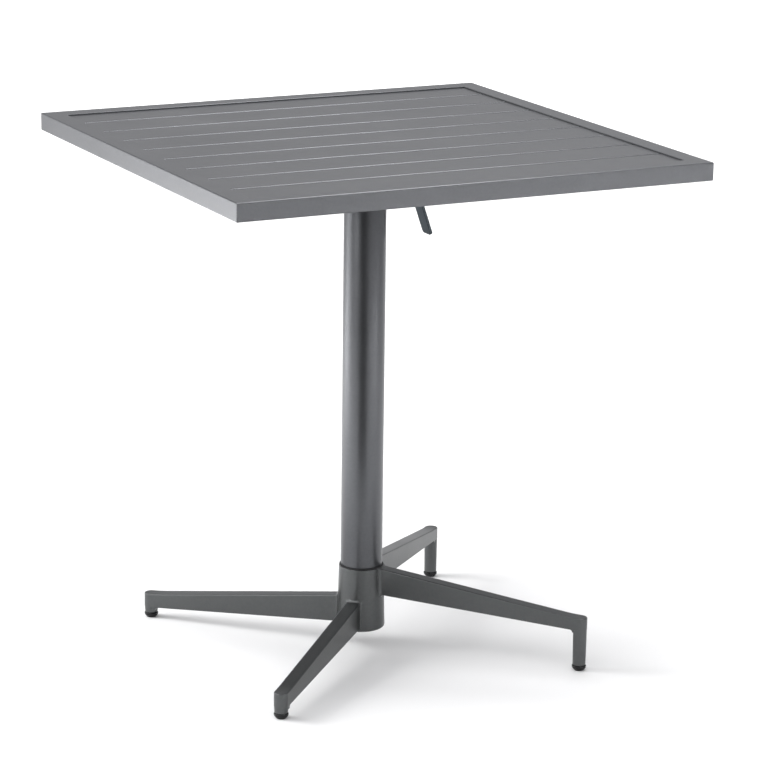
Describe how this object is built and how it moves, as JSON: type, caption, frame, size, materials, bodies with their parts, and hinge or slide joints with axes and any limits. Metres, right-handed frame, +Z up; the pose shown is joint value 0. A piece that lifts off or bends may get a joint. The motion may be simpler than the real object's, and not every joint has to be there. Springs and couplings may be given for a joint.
{
  "type": "flip-top bistro table",
  "caption": "Square slatted metal bistro table on a pedestal with two low and two high feet; the top tilts upright for nesting when its release lever is pulled.",
  "frame": {"origin": "on the floor, under the middle of the column, which is also the middle of the bounding box", "axes": "+Z up; +X along the slats, towards the release lever and the two high feet; +Y towards the back rail"},
  "size_m": [0.7, 0.7, 0.7435],
  "materials": {
    "graphite_coat": "satin",
    "cast_coat": "satin",
    "mill_aluminium": "satin",
    "bracket_coat": "satin",
    "lever_coat": "satin",
    "zinc_steel": "satin",
    "black_rubber": "matte",
    "black_nylon": "satin"
  },
  "bodies": {
    "base": {"base_casting": "cast_coat", "column_tube": "graphite_coat", "column_head": "cast_coat", "column_seal_ring": "black_rubber", "pivot_bush_front": "black_nylon", "pivot_bush_back": "black_nylon", "striker_plate": "zinc_steel", "striker_screw_front": "zinc_steel", "striker_screw_back": "zinc_steel", "stop_pad_front": "black_rubber", "stop_pad_back": "black_rubber", "fold_stop": "black_rubber", "tie_rod": "zinc_steel", "tie_rod_washer": "zinc_steel", "tie_rod_nut": "zinc_steel"},
    "top": {"frame_rail_front": "graphite_coat", "frame_rail_back": "graphite_coat", "frame_rail_left": "graphite_coat", "frame_rail_right": "graphite_coat", "corner_cleat_1": "mill_aluminium", "corner_cleat_2": "mill_aluminium", "corner_cleat_3": "mill_aluminium", "corner_cleat_4": "mill_aluminium", "slat_1": "graphite_coat", "slat_2": "graphite_coat", "slat_3": "graphite_coat", "slat_4": "graphite_coat", "slat_5": "graphite_coat", "slat_6": "graphite_coat", "slat_7": "graphite_coat", "slat_8": "graphite_coat", "slat_9": "graphite_coat", "cross_bearer_1": "graphite_coat", "cross_bearer_2": "graphite_coat", "cross_bearer_3": "graphite_coat", "cross_bearer_4": "graphite_coat", "tilt_bracket": "bracket_coat", "bracket_bolt_1": "zinc_steel", "bracket_bolt_2": "zinc_steel", "bracket_bolt_3": "zinc_steel", "bracket_bolt_4": "zinc_steel", "pivot_pin": "zinc_steel", "pivot_clip_front": "zinc_steel", "pivot_clip_back": "zinc_steel", "lever_pin": "zinc_steel", "lever_pin_clip": "zinc_steel", "lever_spring": "zinc_steel"},
    "lever": {"release_lever": "lever_coat", "latch_hook": "lever_coat"},
    "glide_left": {"glide_left": "black_nylon"},
    "glide_front": {"glide_front": "black_nylon"},
    "glide_right": {"glide_right": "black_nylon"},
    "glide_back": {"glide_back": "black_nylon"}
  },
  "joints": [
    {"name": "top_tilt", "type": "hinge", "parent": "base", "child": "top", "pos_m": [-0.042, 0, 0.701], "axis": [0, -1, 0], "range_deg": [0, 90]},
    {"name": "lever_pull", "type": "hinge", "parent": "top", "child": "lever", "pos_m": [0.06221, 0, 0.7055], "axis": [0, -1, 0], "range_deg": [0, 18], "stiffness_Nm_per_rad": 2, "springref_deg": -17.19, "deforming": ["lever_spring"]},
    {"name": "glide_left_screw", "type": "slide", "parent": "base", "child": "glide_left", "axis": [0, 0, -1], "range_m": [0, 0.008]},
    {"name": "glide_front_screw", "type": "slide", "parent": "base", "child": "glide_front", "axis": [0, 0, -1], "range_m": [0, 0.008]},
    {"name": "glide_right_screw", "type": "slide", "parent": "base", "child": "glide_right", "axis": [0, 0, -1], "range_m": [0, 0.008]},
    {"name": "glide_back_screw", "type": "slide", "parent": "base", "child": "glide_back", "axis": [0, 0, -1], "range_m": [0, 0.008]}
  ]
}
